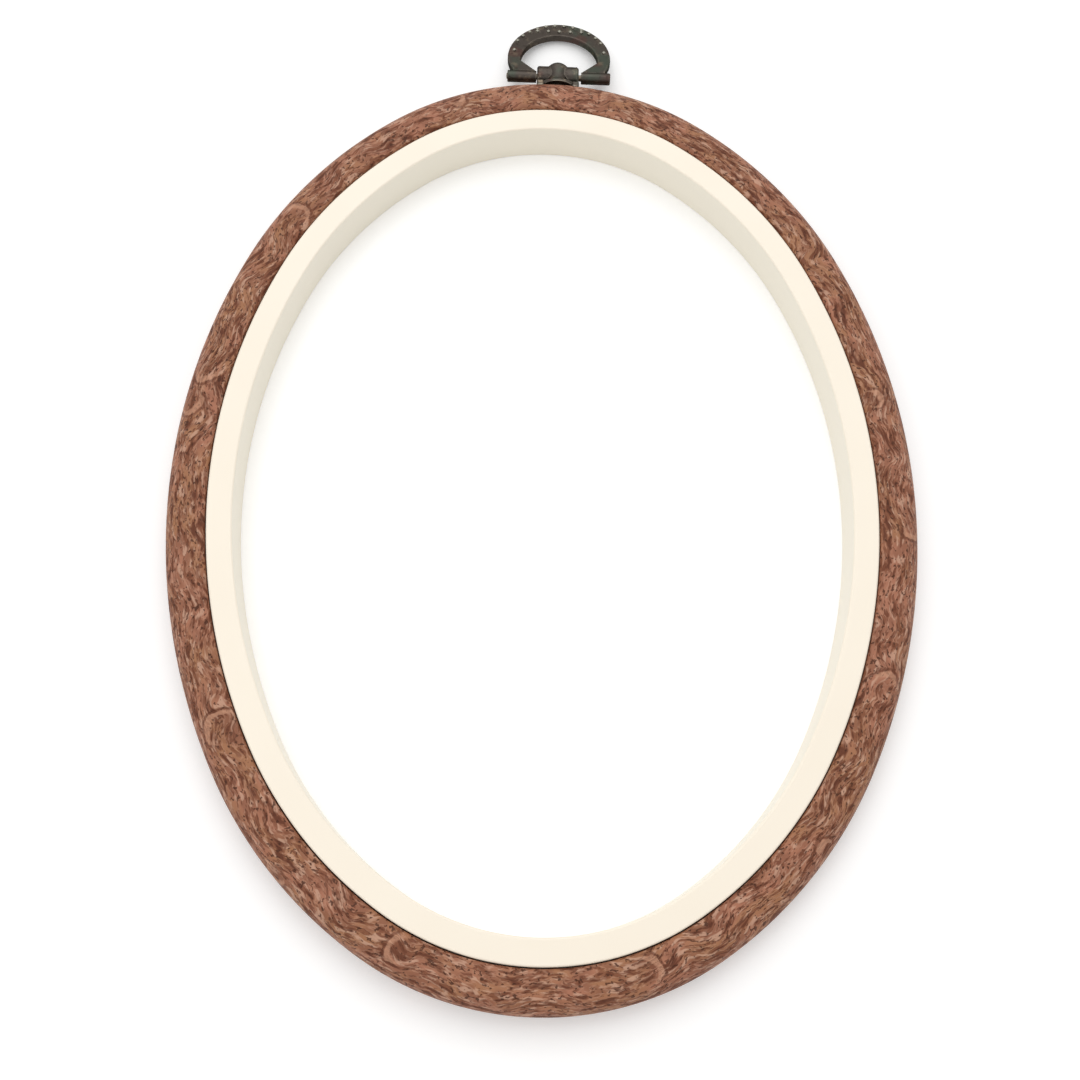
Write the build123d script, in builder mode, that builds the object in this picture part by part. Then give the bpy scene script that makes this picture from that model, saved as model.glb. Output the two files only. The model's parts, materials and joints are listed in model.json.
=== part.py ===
from build123d import *
import os
from math import asin, atan2, cos, hypot, radians, sin, sqrt, tan

# Oval flexi embroidery hoop with a hinged hanger, in millimetres.
# A flexible wood-grain ring is stretched over a rigid inner ring and grips the cloth between them.
# A cast saddle screwed to its outside carries a beaded bail that swings on a steel pin.
# The hoop lies on its back: +Z leaves its face, +Y runs up to the hanger, and the origin is
# the middle of the oval in the plane of its back.

# Rigid inner ring: outside sizes, the degrees that its oval turns from each side before its side
# arcs end and its end arcs start, front rim, and the lip at its back that stops the flexible ring
inner_width = 137.0
inner_length = 184.0
side_turn = 26.0
end_turn = 56.0
rim_width = 5.25
hoop_depth = 10.0
rim_edge_radius = 0.45
lip_reach = 1.6
lip_thickness = 1.6
lip_edge_radius = 0.3

# Flexible outer ring: a D section whose round shoulders leave a narrow flat round its outside
cloth_room = 0.25
band_width = 8.55
shoulder_flat = 1.2
joint_edge_radius = 0.7

# Hanger place: how far right of the oval's top it sits, how far it leans from square, and the
# height of its pin over the ring
hanger_offset = 2.75
hanger_lean = 1.5
pin_offset = 3.5
seat_gap = 0.05

# Hinge: steel pin, the bail's two barrels, and the knuckle between them
pin_radius = 0.7
pin_clearance = 0.04
pin_end_chamfer = 0.15
barrel_radius = 1.33
barrel_length = 6.7
barrel_chamfer = 0.15
knuckle_radius = 2.0
knuckle_lift = 0.5
knuckle_length = 9.6
knuckle_chamfer = 0.35
end_play = 0.4
slide_share = 0.6

# Saddle: a round domed post that flares into an oval skirt, over two claws that hug the ring
post_radius = 2.45
post_top = 3.4
dome_height = 1.3
skirt_width = 8.6
skirt_depth = 5.6
skirt_height = 1.15
flare_height = 1.6
flare_shares = (1.0, 0.42, 0.12, 0.0)
foot_skin = 0.95
foot_length = 9.6
claw_depth = 7.8
claw_width = 1.5
claw_corner = 0.4
arch_rise = 0.6
boss_radius = 1.7

# Fixing screw, driven outwards from inside the flexible ring into the saddle
screw_radius = 0.95
screw_clearance = 0.05
screw_reach = 1.9
screw_tip = 0.4
head_radius = 1.9
head_sink = 0.35
sink_angle = 82.0
slot_length = 2.2
slot_width = 0.5
slot_depth = 0.45

# Bail: a flat horseshoe loop, with heights measured from the pin
plate_thickness = 1.7
loop_radius = 12.0
loop_reach = 18.0
neck_half_width = 10.6
neck_height = 1.6
window_radius = 9.0
window_reach = 13.8
window_corner_radius = 0.6
foot_rise = 1.1
bail_edge_radius = 0.3

# Beads cast on the bail: a long row round the crown, a short one inside it, and one on each side.
# Each is a small dome made of flats, whose edges lie at these degrees up from its foot.
bead_radius = 0.45
bead_sides = 12
bead_turns = (0, 35, 70)
crown_bead_inset = 0.78
crown_bead_count = 12
crown_bead_turn = 122.0
inner_bead_height = 15.15
inner_bead_pitch = 2.6
inner_bead_count = 5
side_bead_height = 8.1
side_bead_spread = 21.0

# Every cut runs past the faces that it passes through by this much
overrun = 1.0

# The oval that both rings follow is the inner ring's outside. It is three tangent arcs in each
# quarter, as near to an ellipse as makes no difference, so that it can be grown evenly.
half_width = inner_width / 2
half_length = inner_length / 2
side_cos = cos(radians(side_turn))
side_sin = sin(radians(side_turn))
end_cos = cos(radians(end_turn))
end_sin = sin(radians(end_turn))
corner_turn = radians(side_turn + end_turn) / 2
corner_radius = (half_width * half_length) ** 2 / hypot(
    half_width * cos(corner_turn), half_length * sin(corner_turn)
) ** 3
width_left = half_width - corner_radius * (side_cos - end_cos)
length_left = half_length - corner_radius * (end_sin - side_sin)
balance = (1 - side_cos) * (1 - end_sin) - end_cos * side_sin
side_radius = (width_left * (1 - end_sin) - length_left * end_cos) / balance
end_radius = (length_left * (1 - side_cos) - width_left * side_sin) / balance
side_middle = Vector(half_width - side_radius, 0)
corner_middle = side_middle + Vector(side_cos, side_sin) * (side_radius - corner_radius)
end_middle = Vector(0, half_length - end_radius)

# How far the flexible ring's outside is grown from it
band_growth = cloth_room + band_width
shoulder_radius = (hoop_depth - shoulder_flat) / 2

# The hanger stands square to the oval, half way up the hoop's depth
seat_y = end_middle.Y + sqrt((end_radius + band_growth) ** 2 - hanger_offset**2)
front = Vector(0, 0, 1)
square = Vector(hanger_offset, seat_y - end_middle.Y, 0).normalized()
outward = square.rotate(Axis.Z, hanger_lean)
along = Vector(outward.Y, -outward.X, 0)
seat_point = Vector(hanger_offset, seat_y, hoop_depth / 2)
pin_point = seat_point + outward * pin_offset
seat_plane = Plane(origin=seat_point, x_dir=along, z_dir=outward)
hanger_plane = Plane(origin=pin_point, x_dir=along, z_dir=front)
hinge_plane = Plane(origin=pin_point, x_dir=outward, z_dir=along)

# The bail hangs back until the rounded edge of its crown rests on the table, and has slid to
# one side on its pin
half_plate = plate_thickness / 2
edge_reach = loop_reach - bail_edge_radius
edge_drop = half_plate - bail_edge_radius
edge_height = hoop_depth / 2 - bail_edge_radius
droop = asin(edge_height / hypot(edge_reach, edge_drop)) - atan2(edge_drop, edge_reach)
bail_front = front * cos(droop) + outward * sin(droop)
bail_point = pin_point + along * end_play * slide_share
bail_plane = Plane(origin=bail_point, x_dir=along, z_dir=bail_front)
bail_hinge_plane = Plane(origin=bail_point, x_dir=outward, z_dir=along)
barrel_inner = knuckle_length / 2 + end_play
hinge_half_length = barrel_inner + barrel_length


def hoop_oval(growth, height=0):
    """A face with the hoop's oval as its edge, grown evenly outwards, at a height."""
    with BuildSketch(Plane.XY.offset(height)) as oval:
        with BuildLine():
            CenterArc(side_middle, side_radius + growth, -side_turn, side_turn * 2)
            corner = CenterArc(
                corner_middle, corner_radius + growth, side_turn, end_turn - side_turn
            )
            mirror(corner, about=Plane.XZ)
            mirror(about=Plane.YZ)
            end = CenterArc(end_middle, end_radius + growth, end_turn, 180 - end_turn * 2)
            mirror(end, about=Plane.XZ)
        make_face()
    return oval.sketch


def oval_pillow(growth):
    """The flexible ring's rounded outside as one solid oval, grown by an even skin."""
    with BuildPart() as pillow:
        extrude(hoop_oval(band_growth + growth, -growth), amount=hoop_depth + growth * 2)
        fillet(pillow.edges().filter_by(Axis.Z, reverse=True), shoulder_radius + growth)
    return pillow.part


# Rigid inner ring
with BuildPart() as inner_ring:
    extrude(hoop_oval(0), amount=hoop_depth)
    extrude(hoop_oval(lip_reach), amount=lip_thickness)
    extrude(hoop_oval(-rim_width), amount=hoop_depth, mode=Mode.SUBTRACT)
    fillet(inner_ring.edges().group_by(Axis.Z)[-1], rim_edge_radius)
    fillet(inner_ring.edges().group_by(Axis.Z)[0], lip_edge_radius)
inner_ring.part.label = "inner_ring"

# Flexible outer ring, with a rebate over the lip and a countersunk screw hole
ring_blank = oval_pillow(0)
screw_plane = Plane(origin=seat_point - outward * band_width, x_dir=along, z_dir=-outward)
with BuildPart() as outer_ring:
    add(ring_blank)
    extrude(hoop_oval(cloth_room), amount=hoop_depth, mode=Mode.SUBTRACT)
    ring_front = outer_ring.faces().sort_by(Axis.Z)[-1]
    fillet(ring_front.inner_wires()[0].edges(), joint_edge_radius)
    lip_room = lip_reach + cloth_room
    extrude(hoop_oval(lip_room), amount=lip_thickness + cloth_room, mode=Mode.SUBTRACT)
    with Locations(screw_plane.offset(-head_sink)):
        CounterSinkHole(
            screw_radius + screw_clearance,
            head_radius + screw_clearance,
            band_width + overrun,
            sink_angle,
        )
outer_ring.part.label = "outer_ring"

# Cast saddle: claws fitted to the ring, a flared skirt, a domed post, and the knuckle across it
seat_blank = oval_pillow(seat_gap)
claw_blank = oval_pillow(foot_skin)
with BuildPart() as saddle_claws:
    with BuildSketch(seat_plane):
        with GridLocations(foot_length - claw_width, 0, 2, 1):
            RectangleRounded(claw_width, claw_depth, claw_corner)
    extrude(amount=pin_offset, both=True)
    add(claw_blank, mode=Mode.INTERSECT)

with BuildPart() as knuckle:
    with BuildSketch(hinge_plane.offset(-knuckle_length / 2)):
        with Locations((knuckle_lift / 2, 0)):
            SlotCenterToCenter(knuckle_lift, knuckle_radius * 2)
    extrude(amount=knuckle_length)
    knuckle_ends = knuckle.edges().group_by(Axis(pin_point, along))
    chamfer(knuckle_ends[0] + knuckle_ends[-1], knuckle_chamfer)

dome_base = pin_offset + post_top - dome_height
dome_radius = (post_radius**2 + dome_height**2) / (dome_height * 2)
flare_steps = len(flare_shares) - 1
with BuildPart() as post:
    for step, share in enumerate(flare_shares):
        with BuildSketch(seat_plane.offset(skirt_height + flare_height * step / flare_steps)):
            Ellipse(
                post_radius + (skirt_width / 2 - post_radius) * share,
                post_radius + (skirt_depth / 2 - post_radius) * share,
            )
    with BuildSketch(seat_plane.offset(dome_base)):
        Ellipse(post_radius, post_radius)
    loft()
    with BuildSketch(Plane(origin=seat_point + outward * dome_base, x_dir=along, z_dir=front)):
        with BuildLine():
            Polyline((0, dome_height), (0, 0), (post_radius, 0))
            RadiusArc((post_radius, 0), (0, dome_height), -dome_radius)
        make_face()
    revolve(axis=Axis(pin_point, outward))

with BuildPart() as hanger_base:
    add(saddle_claws.part)
    with BuildSketch(seat_plane.offset(-arch_rise)):
        Ellipse(skirt_width / 2, skirt_depth / 2)
    extrude(amount=arch_rise + skirt_height)
    add(post.part)
    add(knuckle.part)
    with BuildSketch(hanger_plane.offset(-claw_depth / 2)):
        with Locations((0, -pin_offset)):
            Ellipse(foot_length / 2 - claw_width, arch_rise)
            Rectangle(foot_length - claw_width * 2, arch_rise, align=(Align.CENTER, Align.MAX))
    extrude(amount=claw_depth, mode=Mode.SUBTRACT)
    with BuildSketch(seat_plane.offset(-arch_rise)):
        Circle(boss_radius)
    extrude(amount=arch_rise + skirt_height)
    add(seat_blank, mode=Mode.SUBTRACT)
    with BuildSketch(hinge_plane):
        Circle(pin_radius + pin_clearance)
    extrude(amount=knuckle_length, both=True, mode=Mode.SUBTRACT)
    with BuildSketch(seat_plane):
        Circle(screw_radius + screw_clearance)
    extrude(amount=screw_reach + screw_clearance, mode=Mode.SUBTRACT)
hanger_base.part.label = "hanger_base"

# Steel pin through the barrels and the knuckle
with BuildPart() as hinge_pin:
    with BuildSketch(hinge_plane):
        Circle(pin_radius)
    extrude(amount=hinge_half_length, both=True)
    chamfer(hinge_pin.edges().filter_by(GeomType.CIRCLE), pin_end_chamfer)
hinge_pin.part.label = "hinge_pin"

# Countersunk screw with a crossed slot, turned about the line from the pin to the ring
screw_length = band_width - head_sink + screw_reach
head_height = (head_radius - screw_radius) / tan(radians(sink_angle / 2))
head_point = seat_point - outward * (band_width - head_sink)
with BuildPart() as fixing_screw:
    with BuildSketch(Plane(origin=head_point, x_dir=along, z_dir=front)):
        Polygon(
            (0, 0),
            (head_radius, 0),
            (screw_radius, head_height),
            (screw_radius, screw_length - screw_tip),
            (0, screw_length),
            align=None,
        )
    revolve(axis=Axis(head_point, outward))
    with BuildSketch(Plane(origin=head_point, x_dir=along, z_dir=outward)):
        Rectangle(slot_length, slot_width)
        Rectangle(slot_width, slot_length)
    extrude(amount=slot_depth, mode=Mode.SUBTRACT)
fixing_screw.part.label = "fixing_screw"

# Beaded bail: a flat horseshoe loop whose feet are the two barrels on the pin
loop_middle = loop_reach - loop_radius
window_middle = window_reach - window_radius
bail_face = bail_plane.offset(half_plate)
with BuildPart() as barrels:
    with BuildSketch(bail_hinge_plane.offset(-hinge_half_length)):
        Circle(barrel_radius)
    extrude(amount=hinge_half_length * 2)
    chamfer(barrels.edges().filter_by(GeomType.CIRCLE), barrel_chamfer)
    with BuildSketch(bail_hinge_plane):
        Circle(barrel_radius + overrun)
    extrude(amount=barrel_inner, both=True, mode=Mode.SUBTRACT)
with BuildPart() as bead:
    for low, high in zip(bead_turns, bead_turns[1:]):
        low_height = bead_radius * sin(radians(low))
        high_height = bead_radius * sin(radians(high))
        with BuildSketch(Plane.XY.offset(low_height)):
            RegularPolygon(bead_radius * cos(radians(low)), bead_sides, major_radius=False)
        extrude(amount=high_height - low_height, taper=(low + high) / 2)
with BuildPart() as hanger_bail:
    with BuildSketch(bail_plane.offset(-half_plate)) as plate:
        with BuildLine():
            crown = CenterArc((0, loop_middle), loop_radius, 0, 180)
            window = CenterArc((0, window_middle), window_radius, 0, 180)
            for side, widest, corner in ((1, crown @ 0, window @ 0), (-1, crown @ 1, window @ 1)):
                neck = (side * neck_half_width, neck_height)
                TangentArc(widest, neck, tangent=(0, -1))
                Polyline(
                    neck,
                    (side * neck_half_width, 0),
                    (side * barrel_inner, 0),
                    (side * barrel_inner, foot_rise),
                    corner,
                )
        make_face()
        fillet(plate.vertices().group_by(Axis.Y)[-2], window_corner_radius)
    extrude(amount=plate_thickness)
    rims = hanger_bail.edges().filter_by(Axis(bail_point, bail_front), reverse=True)
    fillet(
        rims.filter_by(lambda rim: bail_plane.to_local_coords(rim).center().Y > foot_rise),
        bail_edge_radius,
    )
    add(barrels.part)
    with BuildSketch(bail_hinge_plane):
        Circle(pin_radius + pin_clearance)
    extrude(amount=hinge_half_length + overrun, both=True, mode=Mode.SUBTRACT)
    crown_middle = bail_face.from_local_coords((0, loop_middle))
    with Locations(Plane(origin=crown_middle, x_dir=along, z_dir=bail_front)):
        with PolarLocations(
            loop_radius - crown_bead_inset,
            crown_bead_count,
            start_angle=(180 - crown_bead_turn) / 2,
            angular_range=crown_bead_turn,
            endpoint=True,
        ):
            add(bead.part)
    with Locations(bail_face):
        with Locations((0, inner_bead_height)):
            with GridLocations(inner_bead_pitch, 0, inner_bead_count, 1):
                add(bead.part)
        with Locations((0, side_bead_height)):
            with GridLocations(side_bead_spread, 0, 2, 1):
                add(bead.part)
hanger_bail.part.label = "hanger_bail"

os.makedirs("parts", exist_ok=True)
for piece in (inner_ring, outer_ring, hanger_base, hinge_pin, fixing_screw, hanger_bail):
    export_step(piece.part, f"parts/{piece.part.label}.step")
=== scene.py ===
import json
from math import asin, atan2, cos, hypot, pi, radians, sin

import bmesh
import bpy
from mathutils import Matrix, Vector


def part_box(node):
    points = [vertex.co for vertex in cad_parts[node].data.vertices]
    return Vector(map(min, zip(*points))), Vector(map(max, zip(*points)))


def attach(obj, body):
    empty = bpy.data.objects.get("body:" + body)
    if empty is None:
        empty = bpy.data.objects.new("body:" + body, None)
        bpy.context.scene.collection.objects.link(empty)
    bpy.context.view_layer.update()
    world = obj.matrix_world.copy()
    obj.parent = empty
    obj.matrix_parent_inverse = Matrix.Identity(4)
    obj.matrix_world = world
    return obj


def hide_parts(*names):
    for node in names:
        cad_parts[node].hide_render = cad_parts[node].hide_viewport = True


# Oval flexi embroidery hoop: the looks of a rigid cream ring, the flexible wood-grain ring that is
# stretched over it, and the antique bronze hanger. All lengths are in metres, angles in degrees.

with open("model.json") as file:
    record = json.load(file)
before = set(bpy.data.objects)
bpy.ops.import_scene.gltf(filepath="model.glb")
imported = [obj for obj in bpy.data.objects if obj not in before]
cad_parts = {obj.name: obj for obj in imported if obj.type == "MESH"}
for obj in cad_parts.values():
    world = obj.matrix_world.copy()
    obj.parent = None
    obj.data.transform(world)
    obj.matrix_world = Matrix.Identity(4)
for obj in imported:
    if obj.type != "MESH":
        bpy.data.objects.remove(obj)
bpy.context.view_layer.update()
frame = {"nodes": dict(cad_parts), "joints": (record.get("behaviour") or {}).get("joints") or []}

MM = 0.001

# The headings, in degrees, where the oval's side arcs end and where its end arcs start
SIDE_TURN = 26.0
END_TURN = 56.0

# Sections of the two rings, as in the solids that they stand for
BAND_WIDTH = 8.55 * MM
SHOULDER_RADIUS = 4.4 * MM
JOINT_RADIUS = 0.7 * MM
RIM_WIDTH = 5.25 * MM
RIM_RADIUS = 0.45 * MM
LIP_REACH = 1.6 * MM
LIP_THICKNESS = 1.6 * MM
LIP_RADIUS = 0.3 * MM
CLOTH_ROOM = 0.25 * MM
BACK_RADIUS = 0.2 * MM

# Their meshes: the short flat run beside a rounded edge, and the numbers of steps
EDGE_RUN = 0.12 * MM
STATIONS = 480
ARC_STEPS = 7
SHOULDER_STEPS = 14

# Screw hole through the flexible ring, cut a little wider and longer than the screw
HOLE_ROOM = 0.05 * MM
HEAD_SINK = 0.35 * MM
HEAD_RADIUS = 1.9 * MM
SHANK_RADIUS = 0.95 * MM
HEAD_HEIGHT = 1.09 * MM
HOLE_REACH = 1.1
HOLE_SIDES = 48

# Bail: from the pin to its crown's edge, half its thickness, its rounded edge, its beads' height,
# and how far from the pin its barrels reach
LOOP_REACH = 18.0 * MM
HALF_PLATE = 0.85 * MM
BAIL_EDGE = 0.3 * MM
BEAD_HEIGHT = 0.42 * MM
BARREL_REACH = 4.0 * MM

# Camera that fits the photograph's ovals
CAMERA_PLACE = Vector((-7.4, -89.7, 259.7)) * MM
CAMERA_TURN = (17.68, -1.55, 0.23)
CAMERA_LENS = 43.33
CLIP_START = 10 * MM

# White floor: half its side, its drop below the hoop's back, its colour, and the light that is
# added where it is seen directly
FLOOR_HALF = 600 * MM
FLOOR_DROP = 0.02 * MM
PAPER = (0.97, 0.97, 0.965, 1.0)
PAPER_LIFT = 0.15

# Lights: place, side in metres, and watts. The world is plain white where it is seen directly,
# and gives less light than that.
KEY_LAMP = ((0.0, 1.08, 1.7), 1.7, 14.2)
FILL_LAMP = ((-0.8, -0.2, 1.55), 1.35, 4.3)
WHITE = (1.0, 1.0, 1.0, 1.0)
WORLD_LIGHT = 0.65

# Edge wear with a painted highlight along the edges: samples of the rounded normal, and the scale
# of the patches that it comes in
BEVEL_SAMPLES = 6
EDGE_WEAR_HIGHLIGHT_PATCHES = 500.0


def srgb(red, green, blue):
    """A colour given as 0 to 255 screen values, as the linear values that shaders take."""
    def linear(value):
        share = value / 255
        return share / 12.92 if share <= 0.04045 else ((share + 0.055) / 1.055) ** 2.4
    return (linear(red), linear(green), linear(blue), 1.0)


class Shader:
    """A material's node tree, with short calls for the nodes that the materials here share."""

    def __init__(self, name):
        self.material = bpy.data.materials.new(name)
        self.material.use_nodes = True
        self.tree = self.material.node_tree
        self.bsdf = self.tree.nodes["Principled BSDF"]

    def add(self, kind, settings=None, **inputs):
        node = self.tree.nodes.new(kind)
        for key, value in (settings or {}).items():
            setattr(node, key, value)
        for key, value in inputs.items():
            self.feed(node.inputs[key.replace("_", " ")], value)
        return node

    def feed(self, socket, value):
        if isinstance(value, bpy.types.NodeSocket):
            self.tree.links.new(value, socket)
        else:
            socket.default_value = value

    def math(self, operation, first, second=0.0):
        node = self.add("ShaderNodeMath", {"operation": operation})
        self.feed(node.inputs[0], first)
        self.feed(node.inputs[1], second)
        return node.outputs[0]

    def vector(self, operation, first, second=(0, 0, 0), scale=1.0):
        node = self.add("ShaderNodeVectorMath", {"operation": operation})
        self.feed(node.inputs[0], first)
        self.feed(node.inputs[1], second)
        if operation == "SCALE":
            self.feed(node.inputs["Scale"], scale)
        plain = operation in ("DISTANCE", "DOT_PRODUCT")
        return node.outputs["Value" if plain else "Vector"]

    def noise(self, place, scale, detail=2.0, roughness=0.5, output="Fac"):
        node = self.add("ShaderNodeTexNoise", Vector=place, Scale=scale, Detail=detail)
        self.feed(node.inputs["Roughness"], roughness)
        return node.outputs[output]

    def object_place(self):
        return self.add("ShaderNodeTexCoord").outputs["Object"]

    def step(self, value, low, high):
        """0 at low, 1 at high, and a smooth step between them."""
        node = self.add(
            "ShaderNodeMapRange",
            {"interpolation_type": "SMOOTHSTEP"},
            Value=value,
            From_Min=low,
            From_Max=high,
        )
        return node.outputs[0]

    def warp(self, place, scale, reach):
        """Moves a place by a smooth noise, so that straight features wander."""
        colour = self.noise(place, scale, 1.0, output="Color")
        offset = self.vector("SUBTRACT", colour, (0.5, 0.5, 0.5))
        return self.vector("ADD", place, self.vector("SCALE", offset, scale=reach))

    def stretched(self, place, scales, detail):
        """A noise whose features have their own size each way."""
        return self.noise(self.vector("MULTIPLY", place, scales), 1.0, detail, 0.6)

    def mix(self, share, first, second):
        node = self.add("ShaderNodeMix", {"data_type": "RGBA"})
        self.feed(node.inputs["Factor"], share)
        self.feed(node.inputs["A"], first)
        self.feed(node.inputs["B"], second)
        return node.outputs["Result"]

    def lay(self, colour, mask, tone):
        """Lays a tone, given as its strength and its screen colour, on a colour by a mask."""
        strength, screen = tone
        return self.mix(self.math("MULTIPLY", mask, strength), colour, srgb(*screen))

    def worn_highlit_edges(self, reach):
        """A mask of the edges, where a rounded normal departs from the face's own: rubbed edges
        that also carry a painted highlight.
        """
        normal = self.add("ShaderNodeNewGeometry").outputs["Normal"]
        bevel = self.add("ShaderNodeBevel", {"samples": BEVEL_SAMPLES}, Radius=reach)
        rounded = bevel.outputs["Normal"]
        agree = self.vector("DOT_PRODUCT", rounded, normal)
        patchy = self.step(self.noise(self.object_place(), EDGE_WEAR_HIGHLIGHT_PATCHES), 0.35, 0.6)
        return self.math("MULTIPLY", self.step(agree, 0.99, 0.9), patchy)

    def bump(self, height, strength, distance):
        node = self.add("ShaderNodeBump", Height=height, Strength=strength, Distance=distance)
        self.feed(self.bsdf.inputs["Normal"], node.outputs["Normal"])

    def finish(self, colour, roughness, **inputs):
        self.feed(self.bsdf.inputs["Base Color"], colour)
        self.feed(self.bsdf.inputs["Roughness"], roughness)
        for key, value in inputs.items():
            self.feed(self.bsdf.inputs[key.replace("_", " ")], value)
        return self.material


# The burr grain's swirls: heading round the oval, turn round the section from its outermost
# edge, both in degrees, radius in millimetres, and how far the grain turns at the middle
SWIRLS = (
    (130, 90, 4.5, 35),
    (202, 100, 4.5, -35),
    (242, 85, 4.5, 35),
    (296, 80, 4.5, -30),
    (342, 95, 4.5, 35),
    (5, 90, 4.5, -40),
    (28, 85, 4.5, 35),
    (76, 95, 4.5, -35),
)

# Burr eyes, placed as swirls are: pale crescents with a dark rim, with the crescent's radius in
# millimetres and the direction of its open side, in degrees from the way that the heading grows
EYES = (
    (168, 80, 1.7, 180),
    (171, 62, 2.6, 225),
    (203.5, 104, 3.0, 40),
    (10.5, 110, 1.8, 90),
    (357, 62, 2.0, 0),
    (342, 85, 1.7, 180),
    (322, 60, 1.4, 250),
    (290, 98, 2.0, 200),
    (242, 98, 2.0, 20),
    (146, 92, 2.4, 0),
    (76, 80, 1.8, 120),
    (110, 70, 1.7, 300),
    (222, 40, 2.0, 100),
)
EYE_BAND = 0.95

# The skin's place in the grain is in millimetres; the angle round the section, in radians, is
# scaled to them. The print ends where the section turns to its inside face.
GRAIN_GIRTH = 4.6
INSIDE_GIRTH = 10.6

# The grain's noises: an offset that sets each apart, the scale in x, in y and round the section,
# and the detail
GRAIN_NOISES = {
    "crowd": ((0.0, 0.0, 0.0), (0.2, 0.2, 0.5), 1.0),
    "strokes": ((0.0, 0.0, 0.0), (0.27, 0.27, 1.35), 1.8),
    "marks": ((17.0, 3.0, 9.0), (0.52, 0.52, 2.1), 1.5),
    "flecks": ((5.0, 41.0, 23.0), (0.31, 0.31, 1.25), 1.5),
    "pits": ((31.0, 11.0, 7.0), (1.1, 1.1, 2.2), 1.0),
    "patches": ((0.0, 0.0, 0.0), (0.22, 0.22, 0.6), 1.5),
    "tint": ((0.0, 0.0, 0.0), (0.08, 0.08, 0.2), 1.0),
}
CROWDING = 0.38

# How far the grain leans round the section, and the scale of that; then the scale and the reach
# of the warps of the grain and of the eyes
LEAN_REACH = 5.5
LEAN_SCALE = 0.1
GRAIN_WARP = (0.5, 0.6)
EYE_WARPS = ((0.3, 1.8), (1.3, 0.5))

# The levels that each mask fades in between: of its own noise, or of the strokes. A pale ridge
# lies beside each stroke, from one pair of levels to the other.
GRAIN_LEVELS = {
    "tint": (0.4, 0.6),
    "patches": (0.42, 0.6),
    "flecks": (0.54, 0.63),
    "marks": (0.58, 0.64),
    "pits": (0.62, 0.67),
}
STROKE_LEVELS = {
    "dark": (0.53, 0.58),
    "deep": (0.6, 0.67),
}
RIDGE_START = (0.46, 0.49)
RIDGE_END = (0.54, 0.51)

# The print's plain colours, then its tones in the order that they are laid: strength and colour
GRAIN_BASES = ((168, 112, 87), (161, 111, 79))
INSIDE_COLOUR = (146, 100, 77)
GRAIN_TONES = {
    "patches": (0.7, (136, 87, 65)),
    "flecks": (0.6, (206, 165, 141)),
    "ridge": (0.35, (192, 145, 120)),
    "dark": (0.7, (120, 71, 48)),
    "marks": (0.75, (112, 62, 41)),
    "deep": (0.8, (90, 46, 28)),
    "pits": (0.85, (72, 38, 22)),
}
EYE_MIDDLE = (0.3, (120, 72, 50))
EYE_RIM = (0.65, (104, 58, 38))
EYE_PALE = (0.65, (196, 145, 117))
EMBOSSING = 0.15 * MM


def lay_eye(shader, colour, dents, place, centre, heading, radius, opening):
    """Lays one burr eye over the grain, and gives the new colour and dents. The crescent lies
    between two spheres; the small numbers are millimetres over which its parts fade."""
    way = Vector((-sin(heading) * cos(opening), cos(heading) * cos(opening), sin(opening)))
    away = shader.vector("DISTANCE", place, centre)
    hollow = shader.vector("DISTANCE", place, Vector(centre) + way * EYE_BAND)
    edge = radius + EYE_BAND / 2
    solid = shader.step(hollow, radius - 0.1, radius + 0.3)
    pale = shader.math("MULTIPLY", shader.step(away, edge, edge - 0.35), solid)
    from_rim = shader.math("ABSOLUTE", shader.math("SUBTRACT", away, edge + 0.15))
    clear = shader.step(hollow, edge + 0.2, edge + 0.6)
    rim = shader.math("MULTIPLY", shader.step(from_rim, 0.4, 0.1), clear)
    middle = shader.step(hollow, radius, radius - 0.6)
    for mask, tone in ((middle, EYE_MIDDLE), (rim, EYE_RIM), (pale, EYE_PALE)):
        colour = shader.lay(colour, mask, tone)
    return colour, shader.math("ADD", dents, rim)


def flow_of_grain(shader, skin, place_on_oval):
    """The skin's place, leant and turned in swirls, so that straight strokes flow there."""
    wander = shader.math("SUBTRACT", shader.noise(skin, LEAN_SCALE, 0.0), 0.5)
    lean = shader.add("ShaderNodeCombineXYZ", Z=shader.math("MULTIPLY", wander, LEAN_REACH))
    place = shader.vector("ADD", skin, lean.outputs["Vector"])
    for heading, height, radius, turn in SWIRLS:
        centre = place_on_oval(radians(heading), radians(height))
        near = shader.step(shader.vector("DISTANCE", place, centre), radius, 0.0)
        spin = shader.add("ShaderNodeVectorRotate", {"rotation_type": "AXIS_ANGLE"}, Vector=place)
        shader.feed(spin.inputs["Center"], centre)
        shader.feed(spin.inputs["Axis"], (cos(radians(heading)), sin(radians(heading)), 0.0))
        shader.feed(spin.inputs["Angle"], shader.math("MULTIPLY", near, radians(turn)))
        place = spin.outputs["Vector"]
    return shader.warp(place, *GRAIN_WARP)


def grain_masks(shader, place):
    """Where each tone of the grain lies, and the slow change between its two plain colours."""
    noises = {}
    for name, (offset, scales, detail) in GRAIN_NOISES.items():
        noises[name] = shader.stretched(shader.vector("ADD", place, offset), scales, detail)
    crowd = shader.math("MULTIPLY", shader.math("SUBTRACT", noises["crowd"], 0.5), CROWDING)
    strokes = shader.math("ADD", noises["strokes"], crowd)
    masks = {}
    for name, levels in GRAIN_LEVELS.items():
        masks[name] = shader.step(noises[name], *levels)
    for name, levels in STROKE_LEVELS.items():
        masks[name] = shader.step(strokes, *levels)
    start = shader.step(strokes, *RIDGE_START)
    masks["ridge"] = shader.math("MULTIPLY", start, shader.step(strokes, *RIDGE_END))
    return masks


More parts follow.
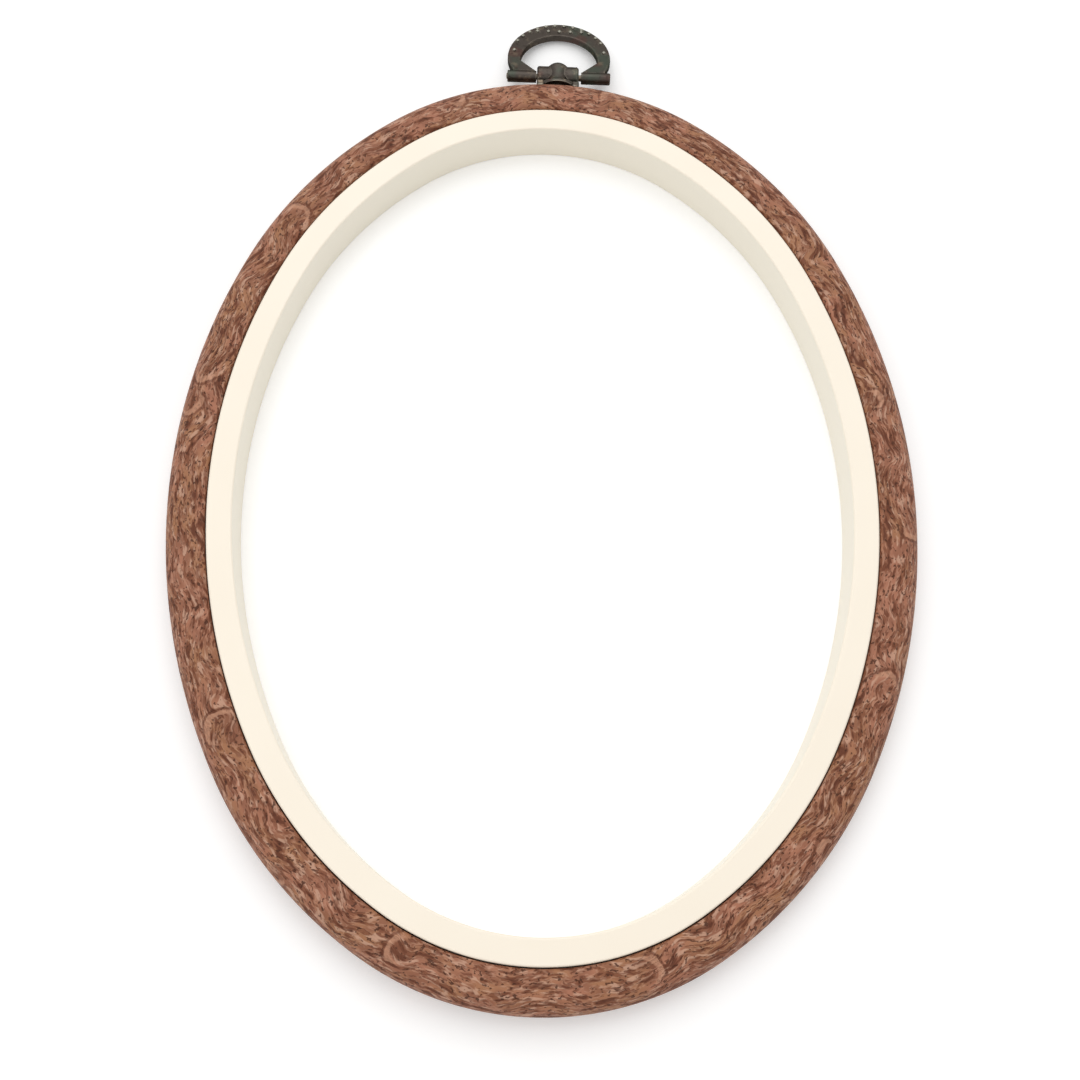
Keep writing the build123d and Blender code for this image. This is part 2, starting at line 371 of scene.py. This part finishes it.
def wood_grain_vinyl(place_on_oval):
    """Brown vinyl with a printed and embossed burr grain that runs round the ring in swirls."""
    shader = Shader("wood_grain_vinyl")
    skin = shader.add("ShaderNodeAttribute", {"attribute_name": "grain"}).outputs["Vector"]
    place = flow_of_grain(shader, skin, place_on_oval)
    masks = grain_masks(shader, place)
    colour = shader.mix(masks["tint"], *(srgb(*plain) for plain in GRAIN_BASES))
    for name, tone in GRAIN_TONES.items():
        colour = shader.lay(colour, masks[name], tone)

    dents = shader.math("MAXIMUM", masks["marks"], masks["pits"])
    dents = shader.math("ADD", shader.math("MULTIPLY", masks["dark"], 0.7), dents)
    eye_place = skin
    for warp in EYE_WARPS:
        eye_place = shader.warp(eye_place, *warp)
    for heading, height, radius, opening in EYES:
        centre = place_on_oval(radians(heading), radians(height))
        colour, dents = lay_eye(
            shader, colour, dents, eye_place, centre, radians(heading), radius, radians(opening)
        )

    girth = shader.add("ShaderNodeSeparateXYZ", Vector=skin).outputs["Z"]
    printed = shader.step(shader.math("ABSOLUTE", girth), INSIDE_GIRTH + 0.4, INSIDE_GIRTH)
    colour = shader.mix(printed, srgb(*INSIDE_COLOUR), colour)
    dents = shader.math("MULTIPLY", dents, printed)
    raised = shader.math("ADD", masks["ridge"], masks["flecks"])
    raised = shader.math("MULTIPLY", raised, printed)
    height = shader.math("SUBTRACT", shader.math("MULTIPLY", raised, 0.4), dents)
    fine = shader.math("MULTIPLY", shader.noise(place, 5.0, 2.0), 0.3)
    shader.bump(shader.math("ADD", height, fine), 0.8, EMBOSSING)
    roughness = shader.math("ADD", 0.52, shader.math("MULTIPLY", masks["dark"], 0.12))
    return shader.finish(colour, roughness, Specular_IOR_Level=0.22)


# The rigid ring's two cream tones, and a painted shade on its steep walls: a cooler, darker cream
CREAM_TONES = ((252, 242, 225), (249, 238, 220))
WALL_SHADE_CREAM = (247, 240, 224)


def cream_plastic():
    """Cream moulded plastic with a soft sheen, and painted shade on its steep walls, where a
    cooler, darker cream stands in for the shade that falls there.
    """
    shader = Shader("cream_plastic")
    place = shader.object_place()
    cloudy = shader.noise(place, 60.0, 2.0)
    fine = shader.noise(place, 1800.0, 2.0)
    colour = shader.mix(cloudy, *(srgb(*cream) for cream in CREAM_TONES))
    # Painted shade: the steep walls, found by the slope of the normal, get the cooler, darker wall
    # cream
    normal = shader.add("ShaderNodeNewGeometry").outputs["Normal"]
    slope = shader.math("ABSOLUTE", shader.add("ShaderNodeSeparateXYZ", Vector=normal).outputs["Z"])
    colour = shader.mix(shader.step(slope, 0.6, 0.2), colour, srgb(*WALL_SHADE_CREAM))
    shader.bump(fine, 0.08, 0.05 * MM)
    roughness = shader.math("ADD", 0.36, shader.math("MULTIPLY", cloudy, 0.12))
    return shader.finish(colour, roughness)


# Bronze patterns: the scale, detail and roughness of a noise, and the levels that it fades in
# between
BRONZE_PATTERNS = {
    "green": (130.0, 2.0, 0.5, 0.46, 0.6),
    "red": (210.0, 1.0, 0.5, 0.56, 0.66),
    "pits": (700.0, 3.0, 0.6, 0.56, 0.7),
    "rubbed": (420.0, 3.0, 0.6, 0.55, 0.72),
}

# Bronze: its two dark tones, then tones that are laid on it, and the tint of its edge reflection
BRONZE_DARK = ((74, 68, 63), (70, 74, 66))
BRONZE_RED = (0.6, (80, 58, 54))
# Rubbed patches: wear, and on the base partly a painted highlight
BRONZE_RUBBED_SHEEN = (128, 115, 97)
BRONZE_PITS = (0.5, (48, 42, 38))
# Light tone of the edges: partly rubbed wear, partly a painted highlight where the rounded edges
# catch light
BRONZE_EDGE_WEAR_HIGHLIGHT = (0.5, (156, 147, 132))
# Bright tone of the bail's beads: a painted glint, partly rubbed metal
BRONZE_BEAD_GLINTS = (0.75, (164, 162, 150))
EDGE_TINT = (0.2, 0.19, 0.18, 1.0)
BRONZE_METAL = 0.9
EDGE_WEAR_HIGHLIGHT_REACH = 0.6 * MM


def antique_bronze(name, shift, wear):
    """Dark plated casting with a green and red-brown patina, rubbed bright on its edges, where the
    bright tone is partly wear and partly a painted highlight.
    """
    shader = Shader(name)
    moved = shader.vector("ADD", shader.object_place(), (shift, 0.0, 0.0))
    masks = {}
    for pattern, (scale, detail, rough, low, high) in BRONZE_PATTERNS.items():
        masks[pattern] = shader.step(shader.noise(moved, scale, detail, rough), low, high)
    colour = shader.mix(masks["green"], *(srgb(*dark) for dark in BRONZE_DARK))
    colour = shader.lay(colour, masks["red"], BRONZE_RED)
    colour = shader.lay(colour, masks["rubbed"], (wear, BRONZE_RUBBED_SHEEN))
    colour = shader.lay(colour, masks["pits"], BRONZE_PITS)
    # Painted highlight and wear along the edges
    colour = shader.lay(colour, shader.worn_highlit_edges(EDGE_WEAR_HIGHLIGHT_REACH), BRONZE_EDGE_WEAR_HIGHLIGHT)
    grain = shader.noise(moved, 3200.0, 3.0)
    sunk = shader.math("MULTIPLY", masks["pits"], -0.6)
    shader.bump(shader.math("ADD", grain, sunk), 0.3, 0.04 * MM)
    uneven = shader.math("MULTIPLY", shader.noise(moved, 350.0, 2.0), 0.18)
    return shader, colour, shader.math("ADD", 0.34, uneven)


def paint_bead_glints(shader, colour, hinge_place, front, up):
    """Paints the bail's beads bright where they stand proud of its face, above its barrels: partly
    rubbed metal, partly a painted glint on each bead.
    """
    offset = shader.vector("SUBTRACT", shader.object_place(), hinge_place)
    height = shader.math("SUBTRACT", shader.vector("DOT_PRODUCT", offset, front), HALF_PLATE)
    proud = shader.step(height, BEAD_HEIGHT * 0.2, BEAD_HEIGHT * 0.8)
    along = shader.vector("DOT_PRODUCT", offset, up)
    above = shader.step(along, BARREL_REACH, BARREL_REACH * 1.2)
    return shader.lay(colour, shader.math("MULTIPLY", proud, above), BRONZE_BEAD_GLINTS)


def plated_steel(name, screen_colour, roughness):
    """Plated steel with fine drawn lines."""
    shader = Shader(name)
    place = shader.object_place()
    lines = shader.noise(shader.vector("MULTIPLY", place, (0.05, 1.0, 1.0)), 9000.0, 2.0)
    bright = srgb(*screen_colour)
    dull = (*(part * 0.7 for part in bright[:3]), 1.0)
    tone = shader.mix(shader.noise(place, 700.0, 2.0), bright, dull)
    shader.bump(lines, 0.2, 0.02 * MM)
    uneven = shader.math("MULTIPLY", lines, 0.1)
    return shader.finish(tone, shader.math("ADD", roughness, uneven), Metallic=1.0)


def rounded_loop(corners):
    """A closed section from (outward, up, radius) corners, each rounded, with a short run beside
    each round so that flat faces shade flat."""
    points = []
    for index, (x, y, radius) in enumerate(corners):
        here = Vector((x, y))
        into = (here - Vector(corners[index - 1][:2])).normalized()
        out = (Vector(corners[(index + 1) % len(corners)][:2]) - here).normalized()
        turn = into.angle_signed(out)
        if radius == 0:
            points += [here - into * EDGE_RUN, here, here + out * EDGE_RUN]
            continue
        centre = here + (out - into) * radius
        count = SHOULDER_STEPS if radius == SHOULDER_RADIUS else ARC_STEPS
        points.append(here - into * (radius + EDGE_RUN))
        for step in range(count + 1):
            angle = -turn * step / count
            arm = (here - into * radius) - centre
            points.append(centre + Vector((
                arm.x * cos(angle) - arm.y * sin(angle),
                arm.x * sin(angle) + arm.y * cos(angle),
            )))
        points.append(here + out * (radius + EDGE_RUN))
    return points


class Oval:
    """The oval that the rings follow: three tangent arcs in each quarter, near to an ellipse."""

    def __init__(self, half_width, half_length):
        self.side = radians(SIDE_TURN)
        self.end = radians(END_TURN)
        middle = (self.side + self.end) / 2
        corner = (half_width * half_length) ** 2
        corner /= hypot(half_width * cos(middle), half_length * sin(middle)) ** 3
        width_left = half_width - corner * (cos(self.side) - cos(self.end))
        length_left = half_length - corner * (sin(self.end) - sin(self.side))
        side_share = 1 - cos(self.side)
        end_share = 1 - sin(self.end)
        balance = side_share * end_share - cos(self.end) * sin(self.side)
        side_radius = (width_left * end_share - length_left * cos(self.end)) / balance
        end_radius = (length_left * side_share - width_left * sin(self.side)) / balance
        self.radii = (side_radius, corner, end_radius)
        side_middle = Vector((half_width - side_radius, 0))
        toward = Vector((cos(self.side), sin(self.side)))
        self.middles = (
            side_middle,
            side_middle + toward * (side_radius - corner),
            Vector((0, half_length - end_radius)),
        )

    def arc(self, heading):
        """Which of a quarter's three arcs holds a heading."""
        rise = abs(sin(heading))
        return 0 if rise <= sin(self.side) else 1 if rise <= sin(self.end) else 2

    def point(self, heading, growth):
        """The point of the oval, grown evenly outwards, whose outward direction is the heading."""
        arc = self.arc(heading)
        middle = self.middles[arc]
        reach = self.radii[arc] + growth
        x = middle.x * (1 if cos(heading) > 0 else -1) + reach * cos(heading)
        y = middle.y * (1 if sin(heading) > 0 else -1) + reach * sin(heading)
        return x, y

    def locate(self, x, y):
        """The heading and the growth of the oval that passes through a point."""
        for turn, middle, radius in zip((self.side, self.end, pi / 2), self.middles, self.radii):
            across = abs(x) - middle.x
            up = abs(y) - middle.y
            if atan2(up, across) <= turn or turn == pi / 2:
                break
        heading = atan2(up * (1 if y > 0 else -1), across * (1 if x > 0 else -1))
        return heading, hypot(across, up) - radius

    def headings(self, count):
        """Headings that step round the oval by about even lengths, with one at each arc's end."""
        turns = (0.0, self.side, self.end, pi / 2)
        spans = [late - early for early, late in zip(turns, turns[1:])]
        lengths = [radius * span for radius, span in zip(self.radii, spans)]
        quarter = []
        for length, early, late in zip(lengths, turns, turns[1:]):
            steps = round(count * length / sum(lengths) / 4)
            quarter += [early + (late - early) * step / steps for step in range(steps)]
        mirrored = [pi - heading for heading in reversed(quarter[1:])]
        half = quarter + [pi / 2] + mirrored
        return half + [heading + pi for heading in half]


def swept_ring(name, oval, start, section):
    """A closed ring whose section follows the oval from a growth of start, with smooth faces."""
    mesh = bmesh.new()
    rows = []
    for heading in oval.headings(STATIONS):
        places = [(*oval.point(heading, start + out), up) for out, up in section]
        rows.append([mesh.verts.new(place) for place in places])
    for index, row in enumerate(rows):
        after = rows[(index + 1) % len(rows)]
        for spot in range(len(row)):
            beside = (spot + 1) % len(row)
            mesh.faces.new((row[spot], after[spot], after[beside], row[beside]))
    bmesh.ops.recalc_face_normals(mesh, faces=mesh.faces)
    for face in mesh.faces:
        face.smooth = True
    data = bpy.data.meshes.new(name)
    mesh.to_mesh(data)
    mesh.free()
    ring = bpy.data.objects.new(name, data)
    bpy.context.scene.collection.objects.link(ring)
    return ring


def countersunk_cutter(head_place, direction, length):
    """A countersunk hole's shape, from past the head's face to past the shank's end."""
    profile = (
        (0.0, -HEAD_SINK * 2),
        (HEAD_RADIUS + HOLE_ROOM, -HEAD_SINK * 2),
        (HEAD_RADIUS + HOLE_ROOM, 0.0),
        (SHANK_RADIUS + HOLE_ROOM, HEAD_HEIGHT),
        (SHANK_RADIUS + HOLE_ROOM, length),
        (0.0, length),
    )
    mesh = bmesh.new()
    rings = []
    for radius, along in profile:
        if radius == 0:
            rings.append([mesh.verts.new((0, 0, along))])
            continue
        turns = [2 * pi * side / HOLE_SIDES for side in range(HOLE_SIDES)]
        rings.append([
            mesh.verts.new((radius * cos(turn), radius * sin(turn), along)) for turn in turns
        ])
    for first, second in zip(rings, rings[1:]):
        for side in range(HOLE_SIDES):
            beside = (side + 1) % HOLE_SIDES
            corners = [first[side % len(first)], first[beside % len(first)]]
            corners += [second[beside % len(second)], second[side % len(second)]]
            mesh.faces.new(list(dict.fromkeys(corners)))
    bmesh.ops.recalc_face_normals(mesh, faces=mesh.faces)
    data = bpy.data.meshes.new("screw_hole")
    mesh.to_mesh(data)
    mesh.free()
    cutter = bpy.data.objects.new("screw_hole", data)
    cutter.location = head_place
    cutter.rotation_mode = "QUATERNION"
    cutter.rotation_quaternion = Vector((0, 0, 1)).rotation_difference(direction)
    bpy.context.scene.collection.objects.link(cutter)
    return cutter


def cut(piece, cutter):
    """Cuts the cutter's shape out of a piece for good, and deletes the cutter."""
    modifier = piece.modifiers.new("hole", "BOOLEAN")
    modifier.operation = "DIFFERENCE"
    modifier.solver = "EXACT"
    modifier.object = cutter
    bpy.context.view_layer.update()
    graph = bpy.context.evaluated_depsgraph_get()
    result = bpy.data.meshes.new_from_object(piece.evaluated_get(graph))
    piece.modifiers.clear()
    piece.data = result
    bpy.data.objects.remove(cutter)


# Sizes from the frame
inner_low, inner_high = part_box("inner_ring")
hoop_depth = inner_high.z
half_width = max(inner_high.x, -inner_low.x) - LIP_REACH
half_length = max(inner_high.y, -inner_low.y) - LIP_REACH
hoop_oval = Oval(half_width, half_length)
grain_growth = CLOTH_ROOM + BAND_WIDTH / 2


def grain_place(heading, girth):
    """Where a point of the flexible ring's skin lies in its grain, in millimetres."""
    x, y = hoop_oval.point(heading, grain_growth)
    return (x / MM, y / MM, girth * GRAIN_GIRTH)


def lay_grain(ring):
    """Stores each point's place in the grain: on the section's middle line, and round it."""
    layer = ring.data.attributes.new("grain", "FLOAT_VECTOR", "POINT")
    for vertex, item in zip(ring.data.vertices, layer.data):
        heading, growth = hoop_oval.locate(vertex.co.x, vertex.co.y)
        girth = atan2(vertex.co.z - hoop_depth / 2, growth - grain_growth)
        item.vector = grain_place(heading, girth)


# Flexible outer ring
rebate_height = LIP_THICKNESS + CLOTH_ROOM
outer_section = rounded_loop((
    (LIP_REACH, 0.0, BACK_RADIUS),
    (BAND_WIDTH, 0.0, SHOULDER_RADIUS),
    (BAND_WIDTH, hoop_depth, SHOULDER_RADIUS),
    (0.0, hoop_depth, JOINT_RADIUS),
    (0.0, rebate_height, BACK_RADIUS),
    (LIP_REACH, rebate_height, 0.0),
))
outer_ring = swept_ring("flexible_outer_ring", hoop_oval, CLOTH_ROOM, outer_section)
screw_low, screw_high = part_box("fixing_screw")
bail_hinge = next(joint for joint in frame["joints"] if joint["type"] == "hinge")
pin_place = Vector(bail_hinge["pos_m"])
pin_axis = Vector(bail_hinge["axis"])
outward = Vector((0, 0, 1)).cross(pin_axis).normalized()
screw_reach = (screw_high.y - screw_low.y) * HOLE_REACH
head_place = pin_place - outward * ((pin_place.y - screw_low.y) / outward.y)
cut(outer_ring, countersunk_cutter(head_place, outward, screw_reach))
lay_grain(outer_ring)
outer_ring.data.materials.clear()
outer_ring.data.materials.append(wood_grain_vinyl(grain_place))
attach(outer_ring, "outer")
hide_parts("outer_ring")

# Rigid inner ring
inner_section = rounded_loop((
    (-RIM_WIDTH, 0.0, LIP_RADIUS),
    (LIP_REACH, 0.0, LIP_RADIUS),
    (LIP_REACH, LIP_THICKNESS, BACK_RADIUS),
    (0.0, LIP_THICKNESS, 0.0),
    (0.0, hoop_depth, RIM_RADIUS),
    (-RIM_WIDTH, hoop_depth, RIM_RADIUS),
))
inner_ring = swept_ring("rigid_inner_ring", hoop_oval, 0.0, inner_section)
inner_ring.data.materials.append(cream_plastic())
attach(inner_ring, "inner")
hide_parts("inner_ring")


def bail_front_way():
    """The way that the bail's face looks: it leans back until its crown's edge is on the table."""
    reach = LOOP_REACH - BAIL_EDGE
    drop = HALF_PLATE - BAIL_EDGE
    droop = asin((pin_place.z - BAIL_EDGE) / hypot(reach, drop)) - atan2(drop, reach)
    return Vector((0, 0, 1)) * cos(droop) + outward * sin(droop)


# Hanger: the castings, pin and screw keep their solids' shapes
# The base's larger rubbed share makes it lighter than the bail: partly wear, partly a painted
# highlight on its saddle
base_shader, base_colour, base_roughness = antique_bronze("bronze_base", 0.0, 0.75)
bail_shader, bail_colour, bail_roughness = antique_bronze("bronze_bail", 0.37, 0.35)
bail_front = bail_front_way()
# Painted glints on the bail's beads, partly rubbed metal
bail_colour = paint_bead_glints(bail_shader, bail_colour, pin_place, bail_front, bail_front.cross(pin_axis))
casting = {"Metallic": BRONZE_METAL, "Specular_Tint": EDGE_TINT}
finishes = {
    "hanger_base": base_shader.finish(base_colour, base_roughness, **casting),
    "hanger_bail": bail_shader.finish(bail_colour, bail_roughness, **casting),
    "hinge_pin": plated_steel("dark_steel_pin", (122, 112, 98), 0.32),
    "fixing_screw": plated_steel("zinc_screw", (196, 180, 138), 0.3),
}
for node, material in finishes.items():
    piece = frame["nodes"][node]
    piece.data.materials.clear()
    piece.data.materials.append(material)

# Floor
bpy.ops.mesh.primitive_plane_add(size=FLOOR_HALF * 2, location=(0, 0, -FLOOR_DROP))
floor = bpy.context.object
floor.name = "floor"


def seen_directly(tree):
    """1 for rays from the camera or from metal or glass, 0 for light."""
    path = tree.nodes.new("ShaderNodeLightPath")
    seen = path.outputs["Is Camera Ray"]
    for other in ("Is Glossy Ray", "Is Transmission Ray"):
        either = tree.nodes.new("ShaderNodeMath")
        either.operation = "MAXIMUM"
        tree.links.new(seen, either.inputs[0])
        tree.links.new(path.outputs[other], either.inputs[1])
        seen = either.outputs[0]
    return seen


paper = Shader("white_floor")
paper.finish(PAPER, 0.9, Specular_IOR_Level=0.0)
paper.feed(paper.bsdf.inputs["Emission Color"], WHITE)
lift = paper.math("MULTIPLY", seen_directly(paper.tree), PAPER_LIFT)
paper.feed(paper.bsdf.inputs["Emission Strength"], lift)
floor.data.materials.append(paper.material)

# Camera and light
camera = bpy.data.objects.new("camera", bpy.data.cameras.new("camera"))
camera.location = CAMERA_PLACE
camera.rotation_euler = [radians(turn) for turn in CAMERA_TURN]
camera.data.lens = CAMERA_LENS
camera.data.clip_start = CLIP_START
bpy.context.scene.collection.objects.link(camera)
bpy.context.scene.camera = camera


def soft_lamp(name, place, side, power):
    """A square lamp that is turned to the hoop's middle."""
    lamp = bpy.data.objects.new(name, bpy.data.lights.new(name, "AREA"))
    lamp.data.size = side
    lamp.data.energy = power
    lamp.location = place
    lamp.rotation_mode = "QUATERNION"
    lamp.rotation_quaternion = (-Vector(place)).to_track_quat("-Z", "Y")
    bpy.context.scene.collection.objects.link(lamp)


soft_lamp("key_lamp", *KEY_LAMP)
soft_lamp("fill_lamp", *FILL_LAMP)
world = bpy.data.worlds.new("studio")
world.use_nodes = True
backdrop = world.node_tree.nodes["Background"]
backdrop.inputs["Color"].default_value = WHITE
level = world.node_tree.nodes.new("ShaderNodeMapRange")
level.inputs["To Min"].default_value = WORLD_LIGHT
level.inputs["To Max"].default_value = 1.0
world.node_tree.links.new(seen_directly(world.node_tree), level.inputs["Value"])
world.node_tree.links.new(level.outputs[0], backdrop.inputs["Strength"])
bpy.context.scene.world = world
bpy.context.scene.view_settings.view_transform = "Standard"
